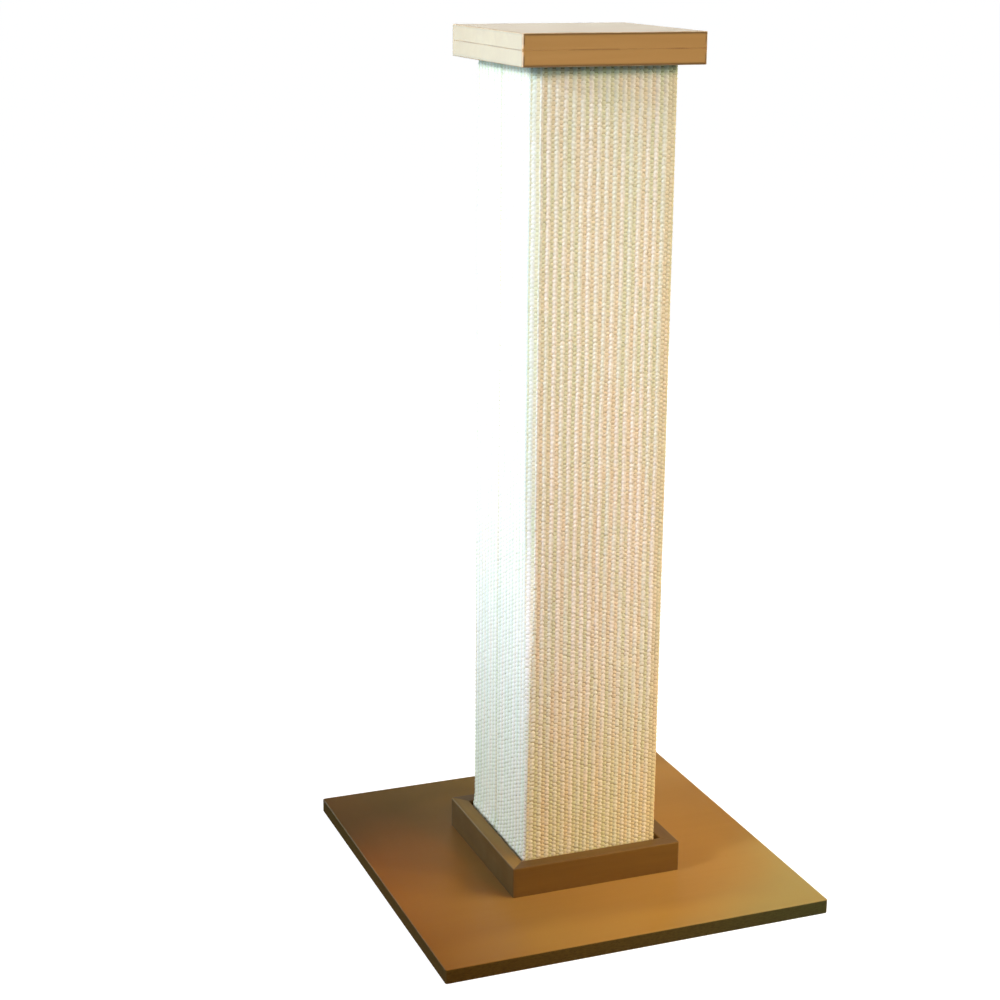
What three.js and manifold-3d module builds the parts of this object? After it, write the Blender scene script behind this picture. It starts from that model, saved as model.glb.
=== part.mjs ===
// Free-standing square scratching post: a flat base board, a hollow square column of four boards
// wrapped in one sheet of woven sisal, a mitred collar of four rails round the column's foot, and a
// two-ply square cap. Millimetres, +Z up. The origin is the centre of the base board's underside,
// the front face is -Y and the left face, which carries the fabric's vertical butt seam, is -X.
import * as THREE from "three";
import { mergeVertices } from "three/addons/utils/BufferGeometryUtils.js";
import Module from "manifold-3d";

const wasm = await Module();
wasm.setup();

// ---------------------------------------------------------------- driving dimensions
const BOARD = 15; // thickness of every board in the post
const BASE_SIDE = 406.4; // base board, square
const BASE_CORNER = 2.2; // radius of the base board's four vertical corners
const ARRIS = 1.1; // eased edges of the base board
const COLUMN_LENGTH = 813; // core panels, base board to cap
const CORE_SIDE = 139.7; // outside of the hollow core, 5 1/2 in
const CORE_CORNER = 5; // rounding of the core's vertical corners under the fabric
const FABRIC = 3; // nominal thickness of the sisal cloth
const FABRIC_GAP = 0.25; // glue line between the core and the cloth
const FABRIC_CORNER = 4.25; // outside rounding of the cloth, which bunches a little at the corners
const SEAM_Y = 7; // the butt seam's place on the left face
const SEAM_GAP = 0.9; // width of the seam between the cloth's two cut edges
const COLLAR_SIDE = 183; // collar, outside
const COLLAR_HEIGHT = 31.5;
const COLLAR_WALL = 15; // rail width
const MITRE_GAP = 0.1; // half of the hairline left at each mitre
const RAIL_ARRIS = 0.9;
const CAP_SIDE = 183;
const CAP_ARRIS = 0.8;
const JOINT_ARRIS = 0.25; // the plies are only just eased where they meet
const CAP_CORNER = 1.6;
const BLOCK_SIDE = 109.2; // solid blocks that close the ends of the core
const BLOCK_HEIGHT = 38;
const BOLT_AT = 28; // the two base bolts sit at (-28, -28) and (28, 28)
const BOLT_R = 4; // 8 mm bolts
const COUNTERBORE_R = 12;
const COUNTERBORE_DEPTH = 8;
const INSERT_R = 6; // threaded inserts in the bottom block
const INSERT_LENGTH = 18;
const SCREW_LENGTH = 40; // 4 mm countersunk wood screws
const SCREW_R = 2;
const SCREW_HEAD_R = 4;
const SCREW_HEAD_H = 2.4;
const SCREW_SINK = 0.5; // how far a head sits below its board's face
const STAPLE_CROWN = 12;
const STAPLE_LEG = 12;
const STAPLE_WIRE = [1.2, 0.7]; // width and thickness of the wire

// ---------------------------------------------------------------- heights
const Z_BASE = BOARD;
const Z_COLLAR = Z_BASE + COLLAR_HEIGHT;
const Z_CAP = Z_BASE + COLUMN_LENGTH;
const Z_CAP_JOINT = Z_CAP + BOARD;

// ---------------------------------------------------------------- materials
const lacquered = (color) => new THREE.MeshStandardMaterial({ color, roughness: 0.38, metalness: 0 });
const raw = (color) => new THREE.MeshStandardMaterial({ color, roughness: 0.8, metalness: 0 });
const steel = () => new THREE.MeshStandardMaterial({ color: 0xb9bcc0, roughness: 0.35, metalness: 1 });
const zinc = () => new THREE.MeshStandardMaterial({ color: 0xc9a552, roughness: 0.4, metalness: 1 });

// ---------------------------------------------------------------- solids
function solid(geometry) {
  const g = geometry.index ? geometry.toNonIndexed() : geometry.clone();
  g.deleteAttribute("normal");
  g.deleteAttribute("uv");
  const merged = mergeVertices(g, 1e-4);
  return new wasm.Manifold(
    new wasm.Mesh({
      numProp: 3,
      vertProperties: new Float32Array(merged.attributes.position.array),
      triVerts: new Uint32Array(merged.index.array),
    }),
  );
}

function geometryOf(body) {
  const m = body.getMesh();
  const xyz = new Float32Array(m.numVert * 3);
  for (let i = 0; i < m.numVert; i++)
    xyz.set(m.vertProperties.subarray(i * m.numProp, i * m.numProp + 3), i * 3);
  const g = new THREE.BufferGeometry();
  g.setAttribute("position", new THREE.BufferAttribute(xyz, 3));
  g.setIndex(new THREE.BufferAttribute(new Uint32Array(m.triVerts), 1));
  g.computeVertexNormals();
  return g;
}

// The corner points of a rectangle with rounded corners, counter-clockwise.
function roundedOutline(w, h, r, steps) {
  const points = [];
  const corners = [
    [w / 2 - r, h / 2 - r, 0],
    [-w / 2 + r, h / 2 - r, 90],
    [-w / 2 + r, -h / 2 + r, 180],
    [w / 2 - r, -h / 2 + r, 270],
  ];
  for (const [cx, cy, from] of corners)
    for (let i = 0; i <= steps; i++) {
      const a = THREE.MathUtils.degToRad(from + (90 * i) / steps);
      points.push(new THREE.Vector2(cx + r * Math.cos(a), cy + r * Math.sin(a)));
    }
  return points;
}

// A square board lying flat between z0 and z0 + thickness, with rounded corners and eased edges.
function board(side, corner, arris, z0, thickness) {
  const g = new THREE.ExtrudeGeometry(new THREE.Shape(roundedOutline(side, side, corner, 4)), {
    depth: thickness - 2 * arris,
    bevelEnabled: true,
    bevelThickness: arris,
    bevelSize: arris,
    bevelOffset: -arris,
    bevelSegments: 3,
  });
  g.translate(0, 0, z0 + arris);
  return solid(g);
}

// The same board with a different easing at its lower and upper edges, as the hull of its outlines.
function ply(side, corner, low, high, z0, thickness) {
  const points = [];
  const ring = (inset, z) => {
    for (const p of roundedOutline(side - 2 * inset, side - 2 * inset, corner - inset, 4))
      points.push([p.x, p.y, z]);
  };
  for (let i = 0; i <= 3; i++) {
    const a = (Math.PI / 6) * i;
    ring(low * (1 - Math.sin(a)), z0 + low * (1 - Math.cos(a)));
    ring(high * (1 - Math.sin(a)), z0 + thickness - high * (1 - Math.cos(a)));
  }
  return wasm.Manifold.hull(points);
}

function prism(points, z0, z1) {
  const g = new THREE.ExtrudeGeometry(new THREE.Shape(points), { depth: z1 - z0, bevelEnabled: false });
  g.translate(0, 0, z0);
  return solid(g);
}

function box(x0, x1, y0, y1, z0, z1) {
  const g = new THREE.BoxGeometry(x1 - x0, y1 - y0, z1 - z0);
  g.translate((x0 + x1) / 2, (y0 + y1) / 2, (z0 + z1) / 2);
  return solid(g);
}

// A solid of revolution about +Z through (x, y), from [radius, z] pairs.
function turned(profile, segments, x = 0, y = 0) {
  const g = new THREE.LatheGeometry(
    profile.map(([r, z]) => new THREE.Vector2(r, z)),
    segments,
  );
  g.rotateX(Math.PI / 2);
  g.translate(x, y, 0);
  const body = solid(g);
  if (body.volume() > 0) return body;
  const turnedOver = new THREE.LatheGeometry(
    profile.map(([r, z]) => new THREE.Vector2(r, z)).reverse(),
    segments,
  );
  turnedOver.rotateX(Math.PI / 2);
  turnedOver.translate(x, y, 0);
  return solid(turnedOver);
}

const drilled = (x, y, z0, z1, r, segments = 12) =>
  turned([[0, z0], [r, z0], [r, z1], [0, z1]], segments, x, y);

// ---------------------------------------------------------------- fasteners
// A countersunk wood screw along +Z: the head's flat top at z = 0 and the point at z = SCREW_LENGTH.
function screwBody() {
  const profile = [
    [0, 0],
    [SCREW_HEAD_R, 0],
    [SCREW_HEAD_R, 0.4],
    [SCREW_R * 0.72, SCREW_HEAD_H],
    [SCREW_R * 0.72, 15],
  ];
  const pitch = 3.4;
  for (let z = 16; z + pitch < SCREW_LENGTH - 2; z += pitch) {
    profile.push([SCREW_R, z + pitch * 0.5]);
    profile.push([SCREW_R * 0.66, z + pitch * 0.82]);
  }
  profile.push([0, SCREW_LENGTH]);
  let body = turned(profile, 8);
  // cross recess
  const arm = 2.3;
  const wide = 0.45;
  for (const [w, h] of [[arm, wide], [wide, arm]]) body = body.subtract(box(-w, w, -h, h, -1, 1.7));
  return body;
}
const screwGeometry = geometryOf(screwBody());

// The room a screw takes in the two pieces it joins: countersink, clearance hole and pilot hole.
function screwRoom() {
  return turned(
    [
      [0, -3],
      [SCREW_HEAD_R + 0.35, -3],
      [SCREW_HEAD_R + 0.35, 0.5],
      [SCREW_R + 0.35, SCREW_HEAD_H + 0.5],
      [SCREW_R + 0.35, BOARD - SCREW_SINK],
      [SCREW_R + 0.2, BOARD - SCREW_SINK + 0.01],
      [SCREW_R + 0.2, SCREW_LENGTH + 1],
      [0, SCREW_LENGTH + 2],
    ],
    8,
  );
}

// Places a thing made along +Z so that its z = 0 lands on `at` and its +Z points along `axis`.
function placement(at, axis) {
  const q = new THREE.Quaternion().setFromUnitVectors(
    new THREE.Vector3(0, 0, 1),
    new THREE.Vector3(...axis),
  );
  return new THREE.Matrix4().compose(new THREE.Vector3(...at), q, new THREE.Vector3(1, 1, 1));
}

const room = geometryOf(screwRoom());
const screwCut = (m) => solid(room.clone().applyMatrix4(m));

// ---------------------------------------------------------------- where the screws go
const railMid = COLLAR_SIDE / 2 - COLLAR_WALL / 2;
const collarScrews = [
  ["front", 0, -railMid],
  ["back", 0, railMid],
  ["left", -railMid, 0],
  ["right", railMid, 0],
].map(([side, x, y]) => ({
  name: "collar_screw_" + side,
  matrix: placement([x, y, SCREW_SINK], [0, 0, 1]),
}));

const capScrews = [
  ["front_left", -34, -34],
  ["front_right", 34, -34],
  ["back_left", -34, 34],
  ["back_right", 34, 34],
].map(([corner, x, y]) => ({
  name: "cap_screw_" + corner,
  matrix: placement([x, y, Z_CAP_JOINT - SCREW_SINK], [0, 0, -1]),
}));

const half = CORE_SIDE / 2;
const coreScrews = [];
for (const [level, z] of [["bottom", Z_BASE + BLOCK_HEIGHT / 2], ["top", Z_CAP - BLOCK_HEIGHT / 2]])
  for (const [side, nx, ny] of [["front", 0, -1], ["back", 0, 1], ["left", -1, 0], ["right", 1, 0]])
    coreScrews.push({
      name: "core_screw_" + level + "_" + side,
      side,
      matrix: placement([nx * (half - SCREW_SINK), ny * (half - SCREW_SINK), z], [-nx, -ny, 0]),
    });

// ---------------------------------------------------------------- staples
// One staple: a flat crown with two legs, made with the crown's outside at z = 0 and legs along +Z.
const [WIRE_W, WIRE_T] = STAPLE_WIRE;
const staplePlan = [
  [-STAPLE_CROWN / 2, 0],
  [STAPLE_CROWN / 2, 0],
  [STAPLE_CROWN / 2, STAPLE_LEG - 0.8],
  [STAPLE_CROWN / 2 - WIRE_T, STAPLE_LEG],
  [STAPLE_CROWN / 2 - WIRE_T, WIRE_T],
  [-STAPLE_CROWN / 2 + WIRE_T, WIRE_T],
  [-STAPLE_CROWN / 2 + WIRE_T, STAPLE_LEG],
  [-STAPLE_CROWN / 2, STAPLE_LEG - 0.8],
].map(([x, y]) => new THREE.Vector2(x, y));
const stapleGeometry = new THREE.ExtrudeGeometry(new THREE.Shape(staplePlan), {
  depth: WIRE_W,
  bevelEnabled: false,
});
stapleGeometry.translate(0, 0, -WIRE_W / 2); // lies in its own XY plane: crown along X, legs along +Y

const fabricOuter = half + FABRIC_GAP + FABRIC;
const STAPLE_Z = Z_BASE + 8;
const STAPLE_AT = 42;
const staples = [];
for (const [side, turn] of [["front", 0], ["right", 90], ["back", 180], ["left", 270]])
  for (const [end, along] of [["a", -STAPLE_AT], ["b", STAPLE_AT]]) {
    const spin = new THREE.Matrix4().makeRotationZ(THREE.MathUtils.degToRad(turn));
    const place = new THREE.Matrix4().makeTranslation(along, -(fabricOuter + WIRE_T + 0.05), STAPLE_Z);
    staples.push({ name: "fabric_staple_" + side + "_" + end, side, matrix: spin.clone().multiply(place) });
  }
const legRoom = [-1, 1].map((s) => {
  const g = new THREE.BoxGeometry(WIRE_T + 0.5, STAPLE_LEG + 1, WIRE_W + 0.5);
  g.translate(s * (STAPLE_CROWN / 2 - WIRE_T / 2), WIRE_T + 0.05 + (STAPLE_LEG + 1) / 2 - 0.4, 0);
  return g;
});
const stapleCut = (m) => legRoom.map((g) => solid(g.clone().applyMatrix4(m)));

// ---------------------------------------------------------------- base bolts
const boltSpots = [
  ["front_left", -BOLT_AT, -BOLT_AT],
  ["back_right", BOLT_AT, BOLT_AT],
];
const WASHER_T = 1.6;
const boltSeat = COUNTERBORE_DEPTH - WASHER_T; // underside of the washer
const BOLT_HEAD_H = 4.6;
const BOLT_LENGTH = 36;

function boltBody() {
  // button head below z = 0, shank above it
  const profile = [
    [0, -BOLT_HEAD_H],
    [4.1, -BOLT_HEAD_H],
    [6.0, -BOLT_HEAD_H * 0.72],
    [7.0, -1.0],
    [7.0, 0],
    [BOLT_R - 0.25, 0],
    [BOLT_R - 0.25, 12],
  ];
  for (let z = 13; z < BOLT_LENGTH - 3; z += 3) {
    profile.push([BOLT_R, z]);
    profile.push([BOLT_R - 0.6, z + 1.5]);
  }
  profile.push([BOLT_R - 1.2, BOLT_LENGTH]);
  profile.push([0, BOLT_LENGTH]);
  const hex = [];
  for (let i = 0; i < 6; i++)
    hex.push(
      new THREE.Vector2(2.89 * Math.cos((i * Math.PI) / 3), 2.89 * Math.sin((i * Math.PI) / 3)),
    );
  return turned(profile, 12).subtract(prism(hex, -BOLT_HEAD_H - 1, -BOLT_HEAD_H + 2.6));
}
const boltGeometry = geometryOf(boltBody());

const washerGeometry = geometryOf(
  turned([[BOLT_R + 0.4, 0], [10, 0], [10, WASHER_T], [BOLT_R + 0.4, WASHER_T], [BOLT_R + 0.4, 0]], 24),
);

function insertBody() {
  const profile = [[BOLT_R + 0.3, 0], [INSERT_R, 0], [INSERT_R, 2]];
  for (let z = 3; z < INSERT_LENGTH - 2; z += 3) {
    profile.push([INSERT_R - 0.9, z]);
    profile.push([INSERT_R, z + 1.5]);
  }
  profile.push([INSERT_R - 0.9, INSERT_LENGTH], [BOLT_R + 0.3, INSERT_LENGTH], [BOLT_R + 0.3, 0]);
  return turned(profile, 12);
}
const insertGeometry = geometryOf(insertBody());

// ---------------------------------------------------------------- the tree
const post = new THREE.Group();
post.name = "scratching_post";
const baseGroup = new THREE.Group();
const columnGroup = new THREE.Group();
const capGroup = new THREE.Group();
post.add(baseGroup, columnGroup, capGroup);

function place(group, name, geometry, material, matrix) {
  const mesh = new THREE.Mesh(geometry, material);
  mesh.name = name;
  if (matrix) matrix.decompose(mesh.position, mesh.quaternion, mesh.scale);
  group.add(mesh);
  return mesh;
}

// ---------------------------------------------------------------- base board
let base = board(BASE_SIDE, BASE_CORNER, ARRIS, 0, BOARD);
for (const [, x, y] of boltSpots) {
  base = base.subtract(drilled(x, y, -1, COUNTERBORE_DEPTH, COUNTERBORE_R, 24));
  base = base.subtract(drilled(x, y, COUNTERBORE_DEPTH - 0.5, BOARD + 1, BOLT_R + 0.6, 12));
}
for (const s of collarScrews) base = base.subtract(screwCut(s.matrix));
place(baseGroup, "base_board", geometryOf(base), lacquered(0x9a6328));

// ---------------------------------------------------------------- collar: four mitred rails
const ringOutside = new THREE.Shape(roundedOutline(COLLAR_SIDE, COLLAR_SIDE, 1.6, 3));
const opening = COLLAR_SIDE - 2 * COLLAR_WALL;
ringOutside.holes.push(
  new THREE.Path([
    new THREE.Vector2(-opening / 2, -opening / 2),
    new THREE.Vector2(-opening / 2, opening / 2),
    new THREE.Vector2(opening / 2, opening / 2),
    new THREE.Vector2(opening / 2, -opening / 2),
  ]),
);
const BELOW = 4;
const ringGeometry = new THREE.ExtrudeGeometry(ringOutside, {
  depth: COLLAR_HEIGHT + BELOW - 2 * RAIL_ARRIS,
  bevelEnabled: true,
  bevelThickness: RAIL_ARRIS,
  bevelSize: RAIL_ARRIS,
  bevelOffset: -RAIL_ARRIS,
  bevelSegments: 3,
});
ringGeometry.translate(0, 0, Z_BASE - BELOW + RAIL_ARRIS);
let ring = solid(ringGeometry).subtract(box(-150, 150, -150, 150, Z_BASE - 2 * BELOW, Z_BASE));
for (const s of collarScrews) ring = ring.subtract(screwCut(s.matrix));
const reach = 120;
for (const [side, turn, tone] of [
  ["front", 0, 0x8a5824],
  ["right", 90, 0x946030],
  ["back", 180, 0x8a5824],
  ["left", 270, 0x7a5526],
]) {
  const g = new THREE.ExtrudeGeometry(
    new THREE.Shape([
      new THREE.Vector2(0, -MITRE_GAP * Math.SQRT2),
      new THREE.Vector2(-reach, -reach - MITRE_GAP * Math.SQRT2),
      new THREE.Vector2(reach, -reach - MITRE_GAP * Math.SQRT2),
    ]),
    { depth: 60, bevelEnabled: false },
  );
  g.rotateZ(THREE.MathUtils.degToRad(turn));
  place(baseGroup, "collar_rail_" + side, geometryOf(ring.intersect(solid(g))), lacquered(tone));
}
for (const s of collarScrews) place(baseGroup, s.name, screwGeometry, steel(), s.matrix);

for (const [corner, x, y] of boltSpots) {
  place(baseGroup, "base_bolt_" + corner, boltGeometry, steel(), placement([x, y, boltSeat], [0, 0, 1]));
  place(baseGroup, "base_washer_" + corner, washerGeometry, steel(), placement([x, y, boltSeat], [0, 0, 1]));
}

// ---------------------------------------------------------------- column: hollow core
// Two wide panels (front, back) cover the edges of two narrow ones (left, right).
const wide = roundedOutline(CORE_SIDE, CORE_SIDE, CORE_CORNER, 4);
const wholeCore = prism(wide, Z_BASE, Z_CAP);
const inner = half - BOARD;
const cuts = {};
for (const side of ["front", "back", "left", "right"]) {
  cuts[side] = [
    ...coreScrews.filter((s) => s.side === side).map((s) => screwCut(s.matrix)),
    ...staples.filter((s) => s.side === side).flatMap((s) => stapleCut(s.matrix)),
  ];
}
const BIG = 100;
const panelBoxes = {
  front: [-BIG, BIG, -BIG, -inner],
  back: [-BIG, BIG, inner, BIG],
  left: [-BIG, -inner, -inner + 0.25, inner - 0.25],
  right: [inner, BIG, -inner + 0.25, inner - 0.25],
};
for (const [side, [x0, x1, y0, y1]] of Object.entries(panelBoxes)) {
  let panel = wholeCore.intersect(box(x0, x1, y0, y1, Z_BASE - 1, Z_CAP + 1));
  for (const c of cuts[side]) panel = panel.subtract(c);
  place(columnGroup, "core_panel_" + side, geometryOf(panel), raw(0xc6a878));
}

// end blocks
const b = BLOCK_SIDE / 2;
let bottomBlock = box(-b, b, -b, b, Z_BASE, Z_BASE + BLOCK_HEIGHT);
let topBlock = box(-b, b, -b, b, Z_CAP - BLOCK_HEIGHT, Z_CAP);
for (const s of coreScrews) {
  const c = screwCut(s.matrix);
  bottomBlock = bottomBlock.subtract(c);
  topBlock = topBlock.subtract(c);
}
for (const [, x, y] of boltSpots) {
  bottomBlock = bottomBlock.subtract(
    drilled(x, y, Z_BASE - 1, Z_BASE + INSERT_LENGTH + 1.5, INSERT_R + 0.3, 12),
  );
  bottomBlock = bottomBlock.subtract(drilled(x, y, Z_BASE, boltSeat + BOLT_LENGTH + 3, BOLT_R + 0.5, 12));
}
for (const s of capScrews) topBlock = topBlock.subtract(screwCut(s.matrix));
place(columnGroup, "core_block_bottom", geometryOf(bottomBlock), raw(0xd2b48a));
place(columnGroup, "core_block_top", geometryOf(topBlock), raw(0xd2b48a));
for (const s of coreScrews) place(columnGroup, s.name, screwGeometry, steel(), s.matrix);
for (const [corner, x, y] of boltSpots)
  place(
    columnGroup,
    "threaded_insert_" + corner,
    insertGeometry,
    zinc(),
    placement([x, y, Z_BASE + 0.3], [0, 0, 1]),
  );

// ---------------------------------------------------------------- column: sisal cloth
// One sheet round the core, whose two cut edges meet in a vertical butt seam on the left face.
const innerSide = CORE_SIDE + 2 * FABRIC_GAP;
const outerSide = innerSide + 2 * FABRIC;
let wrap = prism(
  roundedOutline(outerSide, outerSide, FABRIC_CORNER, 6),
  Z_BASE + 0.5,
  Z_CAP - 0.3,
).subtract(
  prism(roundedOutline(innerSide, innerSide, CORE_CORNER + FABRIC_GAP, 6), Z_BASE - 5, Z_CAP + 5),
);
wrap = wrap.subtract(
  box(-BIG, -half + 5, SEAM_Y - SEAM_GAP / 2, SEAM_Y + SEAM_GAP / 2, Z_BASE - 5, Z_CAP + 5),
);
for (const s of staples) for (const c of stapleCut(s.matrix)) wrap = wrap.subtract(c);
place(
  columnGroup,
  "sisal_wrap",
  geometryOf(wrap),
  new THREE.MeshStandardMaterial({ color: 0xdcc294, roughness: 0.95, metalness: 0 }),
);
for (const s of staples) place(columnGroup, s.name, stapleGeometry, steel(), s.matrix);

// ---------------------------------------------------------------- cap: two glued boards
let lower = ply(CAP_SIDE, CAP_CORNER, CAP_ARRIS, JOINT_ARRIS, Z_CAP, BOARD);
for (const s of capScrews) lower = lower.subtract(screwCut(s.matrix));
place(capGroup, "cap_board_lower", geometryOf(lower), lacquered(0xa87a3e));
place(
  capGroup,
  "cap_board_upper",
  geometryOf(ply(CAP_SIDE, CAP_CORNER, JOINT_ARRIS, CAP_ARRIS, Z_CAP_JOINT, BOARD)),
  lacquered(0xa87a3e),
);
for (const s of capScrews) place(capGroup, s.name, screwGeometry, steel(), s.matrix);

export default post;
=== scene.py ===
import math

import bpy
import numpy as np
from mathutils import Matrix, Vector


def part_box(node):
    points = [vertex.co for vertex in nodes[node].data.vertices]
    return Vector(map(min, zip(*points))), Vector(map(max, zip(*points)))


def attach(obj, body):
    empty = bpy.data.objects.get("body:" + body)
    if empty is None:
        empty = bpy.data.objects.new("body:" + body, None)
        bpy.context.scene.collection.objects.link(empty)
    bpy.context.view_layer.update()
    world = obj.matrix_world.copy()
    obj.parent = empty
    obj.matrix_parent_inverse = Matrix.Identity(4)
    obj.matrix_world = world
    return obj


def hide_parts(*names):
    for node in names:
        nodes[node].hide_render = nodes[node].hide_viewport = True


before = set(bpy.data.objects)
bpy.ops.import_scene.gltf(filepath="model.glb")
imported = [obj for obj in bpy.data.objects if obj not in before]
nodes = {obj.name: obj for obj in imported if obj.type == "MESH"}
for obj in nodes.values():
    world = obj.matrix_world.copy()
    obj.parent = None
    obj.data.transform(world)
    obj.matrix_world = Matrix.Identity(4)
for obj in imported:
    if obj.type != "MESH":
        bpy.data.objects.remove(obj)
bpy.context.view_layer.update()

MM = 0.001
scene = bpy.context.scene

# ------------------------------------------------------------------ camera
# Found from the straight edges and corners of the object: 36 mm sensor, principal point at the middle.
cam_data = bpy.data.cameras.new("view_camera")
cam_data.sensor_width = 36.0
cam_data.lens = 71.649
cam_data.clip_start, cam_data.clip_end = 0.05, 200.0
cam = bpy.data.objects.new("view_camera", cam_data)
scene.collection.objects.link(cam)
forward = Vector((0.34912887, 0.8957636, -0.2751665)).normalized()
right = Vector((0.93253144, -0.36100002, 0.00800593))
right = (right - forward * right.dot(forward)).normalized()
up = right.cross(forward)
cam.matrix_world = Matrix(
    (
        (right.x, up.x, -forward.x, -0.76173),
        (right.y, up.y, -forward.y, -1.76548),
        (right.z, up.z, -forward.z, 0.94515),
        (0, 0, 0, 1),
    )
)
scene.camera = cam
scene.view_settings.view_transform = "Standard"


# ------------------------------------------------------------------ node helpers
def new_material(name):
    m = bpy.data.materials.new(name)
    m.use_nodes = True
    nt = m.node_tree
    nt.nodes.clear()
    out = nt.nodes.new("ShaderNodeOutputMaterial")
    bsdf = nt.nodes.new("ShaderNodeBsdfPrincipled")
    nt.links.new(bsdf.outputs["BSDF"], out.inputs["Surface"])
    return m, nt, bsdf


def put(nt, socket, value):
    if isinstance(value, bpy.types.NodeSocket):
        nt.links.new(value, socket)
    elif value is not None:
        socket.default_value = value


def math_node(nt, op, a, b=None, clamp=False):
    n = nt.nodes.new("ShaderNodeMath")
    n.operation, n.use_clamp = op, clamp
    put(nt, n.inputs[0], a)
    put(nt, n.inputs[1], b)
    return n.outputs[0]


def rgb(c):
    return (c[0], c[1], c[2], 1.0)


def mix(nt, factor, a, b, blend="MIX"):
    n = nt.nodes.new("ShaderNodeMix")
    n.data_type, n.blend_type, n.clamp_factor = "RGBA", blend, True
    put(nt, n.inputs[0], factor)
    put(nt, n.inputs[6], a if isinstance(a, bpy.types.NodeSocket) else rgb(a))
    put(nt, n.inputs[7], b if isinstance(b, bpy.types.NodeSocket) else rgb(b))
    return n.outputs[2]


def ramp(nt, value, stops, interpolation="LINEAR"):
    n = nt.nodes.new("ShaderNodeValToRGB")
    n.color_ramp.interpolation = interpolation
    e = n.color_ramp.elements
    while len(e) > 1:
        e.remove(e[-1])
    for k, (at, colour) in enumerate(stops):
        if k:
            e.new(at)
        e[k].position = at
        e[k].color = (
            (colour, colour, colour, 1.0)
            if isinstance(colour, (int, float))
            else rgb(colour)
        )
    put(nt, n.inputs[0], value)
    return n.outputs[0]


def spread(nt, value, low, high, to_low=0.0, to_high=1.0, smooth=False):
    n = nt.nodes.new("ShaderNodeMapRange")
    n.clamp = True
    if smooth:
        n.interpolation_type = "SMOOTHSTEP"
    for k, v in enumerate((value, low, high, to_low, to_high)):
        put(nt, n.inputs[k], v)
    return n.outputs[0]


def noise(nt, vector, scale, detail=4.0, rough=0.55, distortion=0.0):
    n = nt.nodes.new("ShaderNodeTexNoise")
    put(nt, n.inputs["Vector"], vector)
    n.inputs["Scale"].default_value = scale
    n.inputs["Detail"].default_value = detail
    n.inputs["Roughness"].default_value = rough
    n.inputs["Distortion"].default_value = distortion
    return n.outputs["Fac"]


def stretched(nt, vector, scale, shift=(0.0, 0.0, 0.0), turn=(0.0, 0.0, 0.0)):
    n = nt.nodes.new("ShaderNodeMapping")
    put(nt, n.inputs["Vector"], vector)
    n.inputs["Location"].default_value = shift
    n.inputs["Rotation"].default_value = turn
    n.inputs["Scale"].default_value = scale
    return n.outputs[0]


def attribute(nt, name, output="Fac"):
    n = nt.nodes.new("ShaderNodeAttribute")
    n.attribute_name = name
    return n.outputs[output]


def bump(nt, height, strength, distance, normal=None):
    n = nt.nodes.new("ShaderNodeBump")
    n.inputs["Strength"].default_value = strength
    n.inputs["Distance"].default_value = distance
    put(nt, n.inputs["Height"], height)
    put(nt, n.inputs["Normal"], normal)
    return n.outputs[0]


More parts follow.
